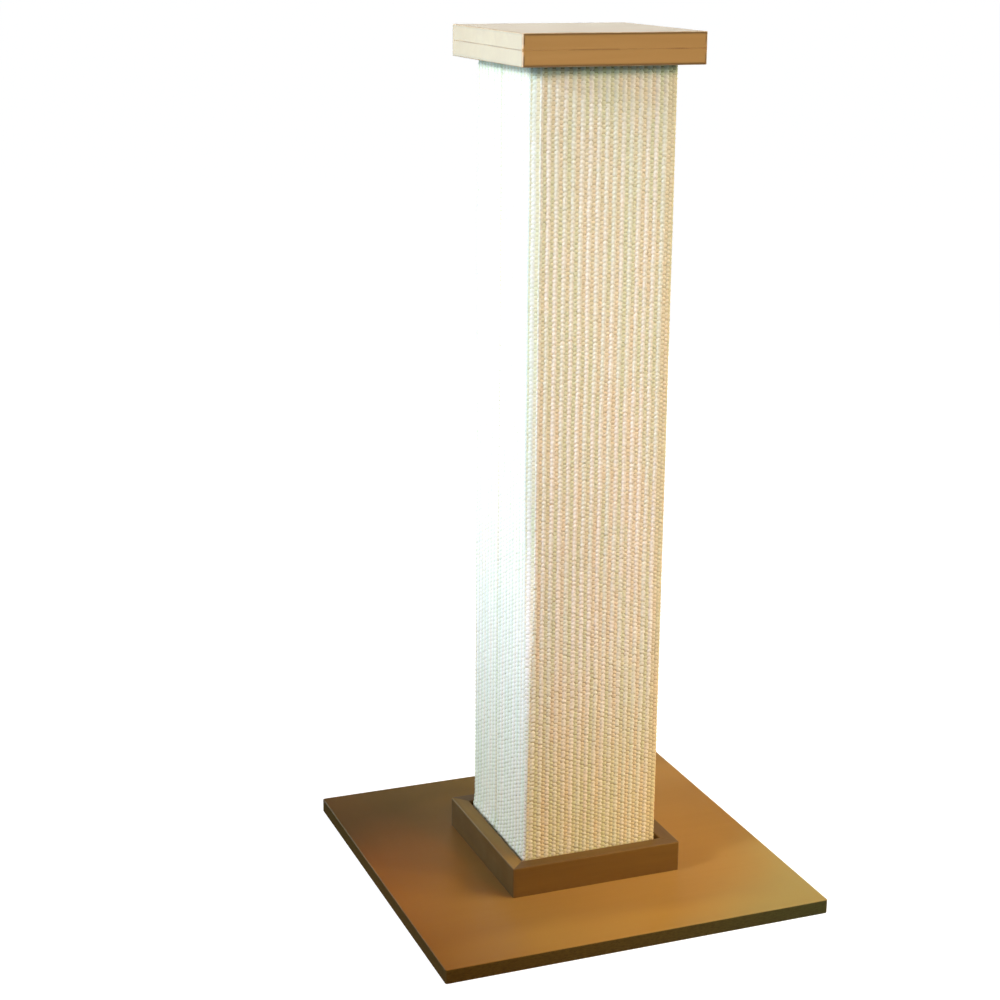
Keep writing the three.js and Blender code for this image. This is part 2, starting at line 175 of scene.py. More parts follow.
# ------------------------------------------------------------------ wood under lacquer
def lacquer(
    name,
    node,
    along,
    dark,
    light,
    shift,
    side=None,
    side_mix=0.0,
    rough=(0.34, 0.46),
    wear_and_highlight=(0.6, 0.38, 0.17),
    wear_and_highlight_amount=0.35,
    grain=1.0,
    rim=0.0,
    joint=None,
    light_shade_drift=(),
    top=None,
    specular=0.5,
    side_run=None,
):
    """Satin lacquer over close-grained wood.

    along is the grain's axis, 0 or 1. side is the colour that the sawn edges take. rim is how much the stain darkens
    beside the arrises, joint is the height of a glue line, and drift lists broad changes of tone over the board, which
    are painted light and shade, each (direction, from, to, colour, amount). top is a lighter colour painted on the face
    that looks up, painted light. side_run is how the colour of the sawn edges to the front and the back changes from
    left to right."""
    m, nt, bsdf = new_material(name)
    tc = nt.nodes.new("ShaderNodeTexCoord")
    place = tc.outputs["Object"]

    long_scale = [62.0, 62.0, 62.0]
    long_scale[along] = 3.2
    fine_scale = [420.0, 420.0, 420.0]
    fine_scale[along] = 16.0
    figure = noise(nt, stretched(nt, place, long_scale, shift), 1.0, 5.0, 0.58, 0.6)
    pores = noise(nt, stretched(nt, place, fine_scale, shift), 1.0, 3.0, 0.62)
    cloud = noise(nt, stretched(nt, place, (7.0, 7.0, 7.0), shift), 1.0, 2.0, 0.5)

    mid = [(a + b) / 2 for a, b in zip(dark, light)]
    tone = ramp(nt, figure, [(0.28, dark), (0.52, mid), (0.74, light)])
    tone = mix(nt, grain, mid, tone)
    tone = mix(
        nt,
        spread(nt, pores, 0.58, 0.76, 0.0, 0.35 * grain),
        tone,
        [c * 0.55 for c in dark],
    )
    tone = mix(nt, spread(nt, cloud, 0.2, 0.8, 0.0, 0.25, True), tone, [c * 0.82 for c in mid])

    spot_at = nt.nodes.new("ShaderNodeSeparateXYZ")
    nt.links.new(place, spot_at.inputs[0])
    # painted light and shade: each drift lays a broad pool of colour over the board, lighter where light falls and
    # darker where shade falls
    for direction, start, stop, colour, amount in light_shade_drift:
        d = math_node(
            nt,
            "ADD",
            math_node(nt, "MULTIPLY", spot_at.outputs[0], direction[0]),
            math_node(nt, "MULTIPLY", spot_at.outputs[1], direction[1]),
        )
        d = math_node(nt, "ADD", d, spread(nt, cloud, 0.2, 0.8, -0.02, 0.02))
        tone = mix(nt, spread(nt, d, start, stop, 0.0, amount, True), tone, colour)

    n = nt.nodes.new("ShaderNodeSeparateXYZ")
    nt.links.new(tc.outputs["Normal"], n.inputs[0])
    ax, ay, az = (math_node(nt, "ABSOLUTE", n.outputs[k]) for k in range(3))
    flat = math_node(nt, "MAXIMUM", math_node(nt, "MAXIMUM", ax, ay), az)
    arris = spread(nt, flat, 0.90, 0.985, 1.0, 0.0)
    upright = spread(nt, az, 0.35, 0.75, 1.0, 0.0)
    if side is not None:
        edge_scale = [300.0, 300.0, 900.0]
        fibre = noise(nt, stretched(nt, place, edge_scale, shift), 1.0, 4.0, 0.6)
        edge_tone = ramp(
            nt,
            fibre,
            [(0.35, [c * 0.72 for c in side]), (0.68, [c * 1.25 for c in side])],
        )
        if side_run is not None:
            reach = spread(nt, spot_at.outputs[0], -0.19, 0.19)
            pale, deep = (
                mix(nt, reach, [c * k for c in side_run[0]], [c * k for c in side_run[1]])
                for k in (1.25, 0.72)
            )
            run_tone = mix(nt, spread(nt, fibre, 0.35, 0.68), deep, pale)
            edge_tone = mix(nt, spread(nt, ay, 0.4, 0.8), edge_tone, run_tone)
        tone = mix(nt, math_node(nt, "MULTIPLY", upright, side_mix), tone, edge_tone)
    # painted light: the face that looks up is mixed toward the lighter top colour
    if top is not None:
        up = spread(nt, n.outputs[2], 0.55, 0.85, 0.0, 0.9)
        tone = mix(nt, up, tone, mix(nt, spread(nt, figure, 0.3, 0.7), [c * 0.85 for c in top], [c * 1.15 for c in top]))
    if rim:
        # how far it is to the nearest edge of the board: the middle one of the three distances to its faces
        low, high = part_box(node)
        away = []
        for k in range(3):
            c = math_node(nt, "SUBTRACT", spot_at.outputs[k], (low[k] + high[k]) / 2)
            away.append(
                math_node(
                    nt, "SUBTRACT", (high[k] - low[k]) / 2, math_node(nt, "ABSOLUTE", c)
                )
            )
        near = math_node(
            nt,
            "MAXIMUM",
            math_node(nt, "MINIMUM", away[0], away[1]),
            math_node(nt, "MINIMUM", math_node(nt, "MAXIMUM", away[0], away[1]), away[2]),
        )
        band = spread(nt, near, 0.0010, 0.0032, rim, 0.0, True)
        band = math_node(nt, "MULTIPLY", band, upright)
        band = math_node(nt, "MULTIPLY", band, spread(nt, n.outputs[0], -0.9, -0.4, 0.25, 1.0))
        if joint is not None:
            far = math_node(
                nt, "ABSOLUTE", math_node(nt, "SUBTRACT", spot_at.outputs[2], joint)
            )
            band = math_node(nt, "MULTIPLY", band, spread(nt, far, 0.0030, 0.0060, 0.0, 1.0))
        tone = mix(nt, band, tone, (0.0, 0.0, 0.0))
    # the arrises are mixed toward the wear colour: paler on the cap and the collar, a painted highlight for light
    # caught on the arrises along with wear, and darker on the base
    rub = noise(nt, stretched(nt, place, (90.0, 90.0, 90.0), shift), 1.0, 4.0, 0.6)
    worn_and_highlit = math_node(
        nt, "MULTIPLY", arris, spread(nt, rub, 0.36, 0.66, 0.45 * wear_and_highlight_amount, wear_and_highlight_amount)
    )
    if joint is not None:
        gap = math_node(
            nt, "ABSOLUTE", math_node(nt, "SUBTRACT", spot_at.outputs[2], joint)
        )
        keep = spread(nt, gap, 0.0010, 0.0020, 0.0, 1.0)
        worn_and_highlit = math_node(nt, "MULTIPLY", worn_and_highlit, keep)
        line = noise(nt, stretched(nt, place, (40.0, 40.0, 6.0), shift), 1.0, 3.0, 0.6)
        line = spread(nt, line, 0.42, 0.56, 0.04, 0.34)
        glue = math_node(nt, "MULTIPLY", line, spread(nt, gap, 0.0004, 0.0011, 1.0, 0.0))
        tone = mix(nt, glue, tone, (0.16, 0.06, 0.02))
    tone = mix(nt, worn_and_highlit, tone, wear_and_highlight)
    put(nt, bsdf.inputs["Base Color"], tone)

    smear = noise(nt, stretched(nt, place, (26.0, 26.0, 26.0), shift), 1.0, 3.0, 0.55)
    gloss = spread(nt, smear, 0.2, 0.8, rough[0], rough[1], True)
    if side is not None:
        gloss = math_node(
            nt, "ADD", gloss, math_node(nt, "MULTIPLY", upright, 0.50 * side_mix), True
        )
    put(nt, bsdf.inputs["Roughness"], gloss)
    bsdf.inputs["IOR"].default_value = 1.47
    bsdf.inputs["Specular IOR Level"].default_value = specular
    peel = noise(nt, place, 900.0, 2.0, 0.5)
    height = math_node(
        nt, "ADD", math_node(nt, "MULTIPLY", peel, 0.5), math_node(nt, "MULTIPLY", pores, 0.8)
    )
    put(nt, bsdf.inputs["Normal"], bump(nt, height, 0.18, 0.00012))
    return m


# ------------------------------------------------------------------ raw wood
def raw_wood(name, along, dark, light, shift):
    m, nt, bsdf = new_material(name)
    tc = nt.nodes.new("ShaderNodeTexCoord")
    place = tc.outputs["Object"]
    ring_scale = [70.0, 70.0, 70.0]
    ring_scale[along] = 3.0
    fine_scale = [520.0, 520.0, 520.0]
    fine_scale[along] = 12.0
    w = nt.nodes.new("ShaderNodeTexWave")
    w.wave_type, w.bands_direction, w.wave_profile = "BANDS", "DIAGONAL", "SAW"
    put(nt, w.inputs["Vector"], stretched(nt, place, ring_scale, shift))
    w.inputs["Scale"].default_value = 1.1
    w.inputs["Distortion"].default_value = 5.0
    w.inputs["Detail"].default_value = 3.0
    pores = noise(nt, stretched(nt, place, fine_scale, shift), 1.0, 4.0, 0.6)
    tone = ramp(nt, w.outputs["Fac"], [(0.0, light), (0.75, light), (1.0, dark)])
    tone = mix(
        nt, spread(nt, pores, 0.5, 0.75, 0.0, 0.45), tone, [c * 0.7 for c in dark]
    )
    put(nt, bsdf.inputs["Base Color"], tone)
    put(nt, bsdf.inputs["Roughness"], spread(nt, pores, 0.3, 0.7, 0.62, 0.82))
    put(nt, bsdf.inputs["Normal"], bump(nt, pores, 0.35, 0.0002))
    return m


# ------------------------------------------------------------------ fasteners
def metal(name, light, dark, rough):
    m, nt, bsdf = new_material(name)
    tc = nt.nodes.new("ShaderNodeTexCoord")
    place = tc.outputs["Object"]
    blot = noise(nt, place, 700.0, 4.0, 0.6)
    fine = noise(nt, place, 3500.0, 3.0, 0.6)
    put(nt, bsdf.inputs["Base Color"], ramp(nt, blot, [(0.3, dark), (0.65, light)]))
    bsdf.inputs["Metallic"].default_value = 1.0
    put(nt, bsdf.inputs["Roughness"], spread(nt, fine, 0.3, 0.7, rough[0], rough[1]))
    put(nt, bsdf.inputs["Normal"], bump(nt, fine, 0.2, 0.00005))
    return m


# ------------------------------------------------------------------ woven sisal
def sisal():
    """k_h is the height in a knob, k_pale says which of the two yarns it is, k_rand differs from knob to knob, k_tint drifts along each column, k_loc is the place in the knob, along and across its yarn."""
    m, nt, bsdf = new_material("woven_sisal")
    high, pale, rand, tint = (
        attribute(nt, n) for n in ("k_h", "k_pale", "k_rand", "k_tint")
    )
    local = attribute(nt, "k_loc", "Vector")

    light_yarn = ramp(
        nt,
        tint,
        [
            (0.0, (0.658, 0.681, 0.528)),
            (0.35, (0.703, 0.696, 0.554)),
            (0.62, (0.747, 0.696, 0.570)),
            (1.0, (0.766, 0.740, 0.630)),
        ],
    )
    tan_yarn = ramp(
        nt,
        tint,
        [
            (0.0, (0.603, 0.622, 0.366)),
            (0.40, (0.641, 0.627, 0.386)),
            (0.65, (0.715, 0.603, 0.385)),
            (1.0, (0.718, 0.666, 0.462)),
        ],
    )
    tone = mix(nt, pale, tan_yarn, light_yarn)
    tone = mix(nt, spread(nt, rand, 0.0, 1.0, 0.0, 0.13), tone, (0.50, 0.38, 0.18))
    # fibres, twisted along the yarn
    fibre = noise(nt, stretched(nt, local, (1.6, 13.0, 1.0), turn=(0, 0, 0.45)), 1.0, 4.0, 0.65)
    strand = noise(nt, stretched(nt, local, (4.0, 34.0, 1.0), turn=(0, 0, 0.45)), 1.0, 2.0, 0.6)
    tone = mix(nt, spread(nt, fibre, 0.52, 0.72, 0.0, 0.34), tone, (0.52, 0.40, 0.20))
    tone = mix(nt, spread(nt, strand, 0.56, 0.70, 0.0, 0.35), tone, (0.97, 0.93, 0.82))
    # painted shade: the yarn is darkened down between the knobs, where shade falls in the creases
    crease_shade = spread(nt, high, 0.02, 0.46, 0.54, 0.0)
    crease_shade = math_node(nt, "MULTIPLY", crease_shade, spread(nt, pale, 0.0, 1.0, 1.0, 0.7))
    tc = nt.nodes.new("ShaderNodeTexCoord")
    place = nt.nodes.new("ShaderNodeSeparateXYZ")
    nt.links.new(tc.outputs["Object"], place.inputs[0])
    # painted shade: the darkening between the knobs is made stronger towards the floor and just under the cap
    shade_gain = math_node(
        nt,
        "ADD",
        spread(nt, place.outputs[2], 0.10, 0.42, 1.9, 1.0, True),
        spread(nt, place.outputs[2], 0.812, 0.826, 0.0, 0.8, True),
    )
    crease_shade = math_node(nt, "MULTIPLY", crease_shade, shade_gain)
    tone = mix(nt, crease_shade, tone, (0.28, 0.21, 0.10))
    # painted shadow: the cloth is darkened and cooled just under the cap, where the cap's overhang casts its shadow
    tone = mix(
        nt, spread(nt, place.outputs[2], 0.811, 0.826, 0.0, 0.8, True), tone, (0.72, 0.86, 0.76), "MULTIPLY"
    )
    # painted light: the cloth is made yellower towards the floor, standing in for warm light bounced up from the base,
    # less so on the left
    warm_bounce = spread(nt, place.outputs[2], 0.03, 0.30, 0.9, 0.0, True)
    warm_bounce = math_node(nt, "MULTIPLY", warm_bounce, spread(nt, place.outputs[0], -0.0735, -0.0660, 0.35, 1.0))
    tone = mix(nt, warm_bounce, tone, (0.95, 0.86, 0.62), "MULTIPLY")
    # painted shade: where it is pulled over the corner between the left and front faces, the cloth is made a little
    # greyer, standing in for the lower light on that strip
    pulled_shade = math_node(
        nt,
        "MULTIPLY",
        spread(nt, place.outputs[0], -0.0656, -0.0636, 1.0, 0.0),
        spread(nt, place.outputs[1], -0.0628, -0.0603, 1.0, 0.0),
    )
    pulled_shade = math_node(nt, "MULTIPLY", pulled_shade, spread(nt, place.outputs[2], 0.30, 0.42, 0.0, 1.0, True))
    tone = mix(nt, pulled_shade, tone, (0.72, 0.74, 0.70), "MULTIPLY")
    put(nt, bsdf.inputs["Base Color"], tone)
    put(nt, bsdf.inputs["Roughness"], spread(nt, fibre, 0.3, 0.7, 0.62, 0.86))
    bsdf.inputs["Specular IOR Level"].default_value = 0.35
    bsdf.inputs["Sheen Weight"].default_value = 0.18
    bsdf.inputs["Sheen Roughness"].default_value = 0.45
    height = math_node(
        nt, "ADD", math_node(nt, "MULTIPLY", fibre, 0.7), math_node(nt, "MULTIPLY", strand, 0.4)
    )
    put(nt, bsdf.inputs["Normal"], bump(nt, height, 0.55, 0.00030))
    return m


# ------------------------------------------------------------------ the sheet of woven sisal
HALF, CORNER = 73.1, 4.25  # outer face of the cloth at its crowns
HALF_IN, CORNER_IN = 70.1, 5.25
Z0, Z1 = 15.5, 827.7
SEAM_Y, SEAM_GAP = 7.0, 0.9
COLUMNS, ROWS = 138, 193
NU, NV = 6, 4  # steps across and up a knob
# the cloth is pulled flat over the corner between the left and front faces, and more so higher up
PULLED = ([15.5, 60, 120, 170, 240, 300, 350, 830], [2.0, 2.2, 2.8, 3.6, 4.9, 6.6, 7.4, 7.7])
PULL_REACH = 18.0


def round_path(s, half, corner, start_y):
    """Place and outward normal at length s along a rounded square, starting on the -X side at start_y and going to the right as seen from outside."""
    flat = 2 * (half - corner)
    arc = math.pi / 2 * corner
    x, y = np.empty_like(s), np.empty_like(s)
    nx, ny = np.empty_like(s), np.empty_like(s)
    c = half - corner
    legs = [("f", start_y + c, (-1, 0)), ("a", arc, (-1, 0))]
    for n in ((0, -1), (1, 0), (0, 1)):
        legs += [("f", flat, n), ("a", arc, n)]
    legs.append(("f", c - start_y, (-1, 0)))
    at = 0.0
    # where each flat begins, by its normal
    begins = {(-1, 0): None, (0, -1): (-c, -half), (1, 0): (half, -c), (0, 1): (c, half)}
    along = {(-1, 0): (0, -1), (0, -1): (1, 0), (1, 0): (0, 1), (0, 1): (-1, 0)}
    centres = {(-1, 0): (-c, -c), (0, -1): (c, -c), (1, 0): (c, c), (0, 1): (-c, c)}
    for k, (kind, length, n) in enumerate(legs):
        last = k == len(legs) - 1
        inside = (s >= at) & ((s <= at + length + 1e-6) if last else (s < at + length))
        t = s[inside] - at
        if kind == "f":
            if k == 0:
                bx, by = -half, start_y
            elif last:
                bx, by = -half, c
            else:
                bx, by = begins[n]
            dx, dy = along[n]
            x[inside], y[inside] = bx + dx * t, by + dy * t
            nx[inside], ny[inside] = n
        else:
            cx, cy = centres[n]
            a = math.atan2(n[1], n[0]) + t / corner
            nx[inside], ny[inside] = np.cos(a), np.sin(a)
            x[inside], y[inside] = cx + corner * np.cos(a), cy + corner * np.sin(a)
        at += length
    return x, y, nx, ny, at


def pulled_corner(s, z):
    """Place and outward normal near the left front corner, where a flat cuts it off. s is measured as in round_path."""
    middle = SEAM_Y + HALF - CORNER + math.pi / 4 * CORNER
    cut = np.interp(z, *PULLED)
    far = CORNER + PULL_REACH - math.pi / 4 * CORNER  # from the sharp corner, at the end of the reach
    half_flat = cut / math.sqrt(2)
    u = (s - middle) * (half_flat + far - cut) / PULL_REACH
    out = np.abs(u) - half_flat
    x = np.where(u < -half_flat, -HALF, np.where(u > half_flat, -HALF + cut + out, 0.0))
    y = np.where(u > half_flat, -HALF, np.where(u < -half_flat, -HALF + cut + out, 0.0))
    on = np.abs(u) <= half_flat
    x = np.where(on, -HALF + cut / 2 + u / math.sqrt(2), x)
    y = np.where(on, -HALF + cut / 2 - u / math.sqrt(2), y)
    turn = [
        np.clip(0.5 + (u + sign * half_flat) / 2.4, 0, 1) for sign in (1, -1)
    ]
    turn = [t * t * (3 - 2 * t) for t in turn]
    a = math.pi + math.pi / 4 * (turn[0] + turn[1])
    return x, y, np.cos(a), np.sin(a), np.abs(s - middle) < PULL_REACH


def above_inner(x, y):
    """How far a point stands outside the sheet's inner face."""
    c = HALF_IN - CORNER_IN
    qx, qy = np.abs(x) - c, np.abs(y) - c
    outside = np.hypot(np.maximum(qx, 0), np.maximum(qy, 0))
    return outside + np.minimum(np.maximum(qx, qy), 0) - CORNER_IN


def soft_noise(rng, shape, cells):
    """Smooth noise from -1 to 1 on a grid, with about this many cells each way."""
    gu, gv = cells
    g = rng.uniform(-1, 1, (gu + 2, gv + 2))
    u = np.linspace(0, gu, shape[0])
    v = np.linspace(0, gv, shape[1])
    iu, iv = np.minimum(u.astype(int), gu), np.minimum(v.astype(int), gv)
    fu, fv = u - iu, v - iv
    fu, fv = fu * fu * (3 - 2 * fu), fv * fv * (3 - 2 * fv)
    fu, fv = fu[:, None], fv[None, :]
    a = g[iu][:, iv]
    b = g[iu + 1][:, iv]
    c = g[iu][:, iv + 1]
    d = g[iu + 1][:, iv + 1]
    return (a * (1 - fu) + b * fu) * (1 - fv) + (c * (1 - fu) + d * fu) * fv


def zipper(a, pa, b, pb):
    """Triangles between two runs of vertices, a and b, with their places pa and pb along the run."""
    out, i, j = [], 0, 0
    while i < len(a) - 1 or j < len(b) - 1:
        if j == len(b) - 1 or (i < len(a) - 1 and pa[i + 1] <= pb[j + 1]):
            out.append((a[i], a[i + 1], b[j]))
            i += 1
        else:
            out.append((a[i], b[j + 1], b[j]))
            j += 1
    return out


DEEP = -1.45  # down between the knobs


def weave():
    rng = np.random.default_rng(4127)
    nu, nv = COLUMNS * NU + 1, ROWS * NV + 1
    su = np.arange(nu) / NU
    tv = np.arange(nv) / NV
    S, T = np.meshgrid(su, tv, indexing="ij")

    # every knob has its own place, size, height and tilt
    shape = (COLUMNS + 4, ROWS + 6)
    off_a = rng.normal(0, 0.026, shape)
    off_b = rng.normal(0, 0.034, shape)
    size_a = rng.normal(1, 0.045, shape)
    size_b = rng.normal(1, 0.045, shape)
    tall = rng.normal(0, 0.060, shape)
    # the knobs lean down to the right on the front, and the other way round the left corner
    lean = np.interp(np.arange(shape[0]), [0, 17.5, 22, 118, 126, 144], [-12, -12, 17, 17, 2, 2])
    tilt = np.radians(lean[:, None] + rng.normal(0, 4.0, shape))
    rand = rng.uniform(0, 1, shape)
    column_tall = rng.normal(0, 0.05, shape[0])
    # the knobs of the pale yarn stand apart lower down and run together higher up
    snug = np.interp(np.arange(shape[1]) / ROWS, [0.0, 0.30, 0.60], [0.485, 0.52, 0.57])

    best = np.full(S.shape, -1.0)
    best_h = np.full(S.shape, DEEP)
    loc_a, loc_b = np.zeros(S.shape), np.zeros(S.shape)
    win_rand, win_pale = np.zeros(S.shape), np.zeros(S.shape)
    col0 = np.clip(np.floor(S).astype(int), 0, COLUMNS - 1)
    for dc in (-1, 0, 1):
        col = col0 + dc
        phase = 0.5 * (col % 2)
        row0 = np.floor(T - phase).astype(int)
        # the pale yarn is left out of one column at the right front corner
        pale = ((col % 2 == 0) & (col != 52)).astype(float)
        for dr in (-1, 0, 1):
            row = row0 + dr
            ci, ri = np.clip(col + 1, 0, shape[0] - 1), np.clip(row + 2, 0, shape[1] - 1)
            da = S - (col + 0.5) - off_a[ci, ri]
            db = T - (row + 0.5 + phase) - off_b[ci, ri]
            c, s = np.cos(tilt[ci, ri]), np.sin(tilt[ci, ri])
            along = da * c - db * s
            across = da * s + db * c
            A = np.where(pale > 0.5, 0.69, 0.60) * size_a[ci, ri]
            B = np.where(pale > 0.5, snug[ri], 0.46) * size_b[ci, ri]
            rho = (along / A) ** 2 + (across / B) ** 2
            dome = np.clip(1 - rho, 0, 1) ** 0.62
            crown = np.where(pale > 0.5, -0.10, -0.40) + tall[ci, ri] + column_tall[ci]
            h = DEEP + (crown - DEEP) * dome
            # a knob never reaches past the sheet's own ends
            better = (h > best_h) & (col >= 0) & (col < COLUMNS)
            best_h = np.where(better, h, best_h)
            best = np.where(better, dome, best)
            loc_a = np.where(better, along, loc_a)
            loc_b = np.where(better, across, loc_b)
            win_rand = np.where(better, rand[ci, ri], win_rand)
            win_pale = np.where(better, pale, win_pale)
    best = np.clip(best, 0, 1)

    # the cloth isn't quite even: columns wander and rows sway
    wander = (
        0.12 * soft_noise(rng, S.shape, (26, 12))
        + 0.03 * soft_noise(rng, S.shape, (90, 60))
    )
    sway = 0.30 * soft_noise(rng, S.shape, (24, 4)) + 0.05 * soft_noise(
        rng, S.shape, (134, 40)
    )
    keep_u = np.minimum(1, np.minimum(S, COLUMNS - S) / 2.0)
    keep_v = np.minimum(1, np.minimum(T, ROWS - T) / 2.0)
    S2 = S + wander * keep_u
    T2 = T + sway * keep_v
    slow = 0.10 * soft_noise(rng, S.shape, (16, 20))

    length = round_path(np.zeros(1), HALF, CORNER, SEAM_Y)[4]
    pitch = (length - SEAM_GAP) / COLUMNS
    arc = SEAM_GAP / 2 + S2 * pitch
    x, y, nx, ny, _ = round_path(arc.ravel(), HALF, CORNER, SEAM_Y)
    x, y, nx, ny = (q.reshape(S.shape) for q in (x, y, nx, ny))
    z = Z0 + (Z1 - Z0) * T2 / ROWS
    px, py, pnx, pny, near = pulled_corner(arc, z)
    x, y, nx, ny = (np.where(near, a, b) for a, b in ((px, x), (py, y), (pnx, nx), (pny, ny)))
    h = np.minimum(best_h + slow, 0.25)
    # the cut edges are pressed down at the seam and at the ends
    press = np.clip(1 - np.minimum(S, COLUMNS - S) / 0.7, 0, 1) ** 2
    h -= 0.8 * press
    h = np.maximum(h, np.maximum(-2.3, 0.3 - above_inner(x, y)))
    # on the left it fills out a little where it goes down into the collar
    h += 2.6 * np.clip(1 - np.abs(z - 41.0) / 19.0, 0, 1) ** 1.5 * np.clip(-nx, 0, 1) * (h > -2.2)
    x, y = x + nx * h, y + ny * h
    outer = np.stack([x, y, z], -1).reshape(-1, 3)

    # inner face, coarse
    length_in = round_path(np.zeros(1), HALF_IN, CORNER_IN, SEAM_Y)[4]
    ci = HALF_IN - CORNER_IN
    arc_in = math.pi / 2 * CORNER_IN
    marks, at = [SEAM_GAP / 2], SEAM_Y + ci
    for _ in range(4):
        marks += list(np.linspace(at, at + arc_in, 7))
        at += arc_in + 2 * ci
    marks.append(length_in - SEAM_GAP / 2)
    marks = np.array(sorted(marks))
    n_in = len(marks)
    rows_in = np.linspace(0, ROWS, 25)
    xi, yi, _, _, _ = round_path(marks, HALF_IN, CORNER_IN, SEAM_Y)
    inner = np.array(
        [[xi[i], yi[i], Z0 + (Z1 - Z0) * r / ROWS] for i in range(n_in) for r in rows_in]
    )
    base = len(outer)
    nr = len(rows_in)

    ids = np.arange(nu * nv).reshape(nu, nv)
    quads = np.stack(
        [ids[:-1, :-1], ids[1:, :-1], ids[1:, 1:], ids[:-1, 1:]], -1
    ).reshape(-1, 4)
    ids_in = base + np.arange(n_in * nr).reshape(n_in, nr)
    quads_in = np.stack(
        [ids_in[:-1, :-1], ids_in[:-1, 1:], ids_in[1:, 1:], ids_in[1:, :-1]], -1
    ).reshape(-1, 4)
    # the four rims: share of the way round, or up, decides which vertices meet
    su_share = np.arange(nu) / (nu - 1)
    # match the inner marks to the outer path by the corners
    outer_marks = []
    at_o, at_i = SEAM_Y + HALF - CORNER, SEAM_Y + ci
    pairs = [(SEAM_GAP / 2, SEAM_GAP / 2)]
    for _ in range(4):
        pairs += [(at_i, at_o), (at_i + arc_in, at_o + math.pi / 2 * CORNER)]
        at_i += arc_in + 2 * ci
        at_o += math.pi / 2 * CORNER + 2 * (HALF - CORNER)
    pairs.append((length_in - SEAM_GAP / 2, length - SEAM_GAP / 2))
    pairs = np.array(pairs)
    in_share = np.interp(marks, pairs[:, 0], pairs[:, 1])
    in_share = (in_share - SEAM_GAP / 2) / (length - SEAM_GAP)
    tv_share, rows_share = tv / ROWS, rows_in / ROWS
    bottom = zipper(list(ids[:, 0]), su_share, list(ids_in[:, 0]), in_share)
    top = zipper(list(ids[:, -1]), su_share, list(ids_in[:, -1]), in_share)
    first = zipper(list(ids[0, :]), tv_share, list(ids_in[0, :]), rows_share)
    last = zipper(list(ids[-1, :]), tv_share, list(ids_in[-1, :]), rows_share)
    bottom = [t[::-1] for t in bottom]
    last = [t[::-1] for t in last]
    tris = np.array(bottom + top + first + last, dtype=np.int64)

    verts = np.concatenate([outer, inner]) * MM
    me = bpy.data.meshes.new("sisal_cloth")
    n_quads = len(quads) + len(quads_in)
    loops = np.concatenate([quads.ravel(), quads_in.ravel(), tris.ravel()]).astype(
        np.int32
    )
    starts = np.concatenate(
        [np.arange(n_quads) * 4, n_quads * 4 + np.arange(len(tris)) * 3]
    ).astype(np.int32)
    totals = np.concatenate(
        [np.full(n_quads, 4), np.full(len(tris), 3)]
    ).astype(np.int32)
    me.vertices.add(len(verts))
    me.vertices.foreach_set("co", verts.astype(np.float32).ravel())
    me.loops.add(len(loops))
    me.loops.foreach_set("vertex_index", loops)
    me.polygons.add(len(starts))
    me.polygons.foreach_set("loop_start", starts)
    me.polygons.foreach_set("loop_total", totals)
    smooth = np.zeros(len(starts), bool)
    smooth[: len(quads)] = True
    me.polygons.foreach_set("use_smooth", smooth)

    # map: the outer face flat, then the inner face and the rims in narrow strips beside it
    uv = np.zeros((len(loops), 2))
    outer_uv = np.stack([0.90 * S / COLUMNS, T / ROWS], -1).reshape(-1, 2)
    inner_uv = np.array(
        [[0.905 + 0.055 * m, r] for m in in_share for r in rows_share]
    )
    both = np.concatenate([outer_uv, inner_uv])
    face_loops = (len(quads) + len(quads_in)) * 4
    uv[:face_loops] = both[loops[:face_loops]]
    strips = [
        (bottom, 0.965, su_share, in_share, 0),
        (top, 0.973, su_share, in_share, 0),
        (first, 0.981, tv_share, rows_share, 1),
        (last, 0.989, tv_share, rows_share, 1),
    ]
    k = face_loops
    for run, u0, share_out, share_in, way in strips:
        for tri in run:
            for vtx in tri:
                if vtx < base:
                    i = vtx // nv if way == 0 else vtx % nv
                    uv[k] = (u0, share_out[i])
                else:
                    i = (vtx - base) // nr if way == 0 else (vtx - base) % nr
                    uv[k] = (u0 + 0.005, share_in[i])
                k += 1
    layer = me.uv_layers.new(name="OFBake")
    layer.data.foreach_set("uv", uv.astype(np.float32).ravel())

    # what the material reads
    col_tint = soft_noise(rng, (COLUMNS, nv), (COLUMNS - 1, 9)) * 0.32 + 0.5
    col_tint = col_tint + soft_noise(rng, (COLUMNS, nv), (COLUMNS - 1, 60)) * 0.12
    col_tint[51:54] = 0.55 + 0.3 * (col_tint[51:54] - 0.5)
    tint = col_tint[col0.ravel(), np.tile(np.arange(nv), nu)]
    n_inner = len(inner)

    def give(name, values, fill):
        a = me.attributes.new(name, "FLOAT", "POINT")
        a.data.foreach_set(
            "value",
            np.concatenate([values.ravel(), np.full(n_inner, fill)]).astype(np.float32),
        )

    give("k_h", best, 0.35)
    give("k_pale", win_pale, 0.5)
    give("k_rand", win_rand, 0.5)
    give("k_tint", np.clip(tint, 0, 1), 0.5)
    a = me.attributes.new("k_loc", "FLOAT_VECTOR", "POINT")
    loc = np.stack([loc_a, loc_b, win_rand * 40.0], -1).reshape(-1, 3)
    inner_loc = np.stack(
        [np.repeat(marks, nr), np.tile(rows_in, n_in), np.zeros(n_inner)], -1
    )
    a.data.foreach_set(
        "vector", np.concatenate([loc, inner_loc]).astype(np.float32).ravel()
    )
    me.validate()
    me.update()
    ob = bpy.data.objects.new("sisal_cloth", me)
    scene.collection.objects.link(ob)
    ob.data.materials.append(sisal())
    return ob, pitch


cloth, pitch = weave()
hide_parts("sisal_wrap")
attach(cloth, "root")


def dress(name, material):
    ob = nodes[name]
    for s in ob.material_slots:
        s.link = "OBJECT"
        s.material = material


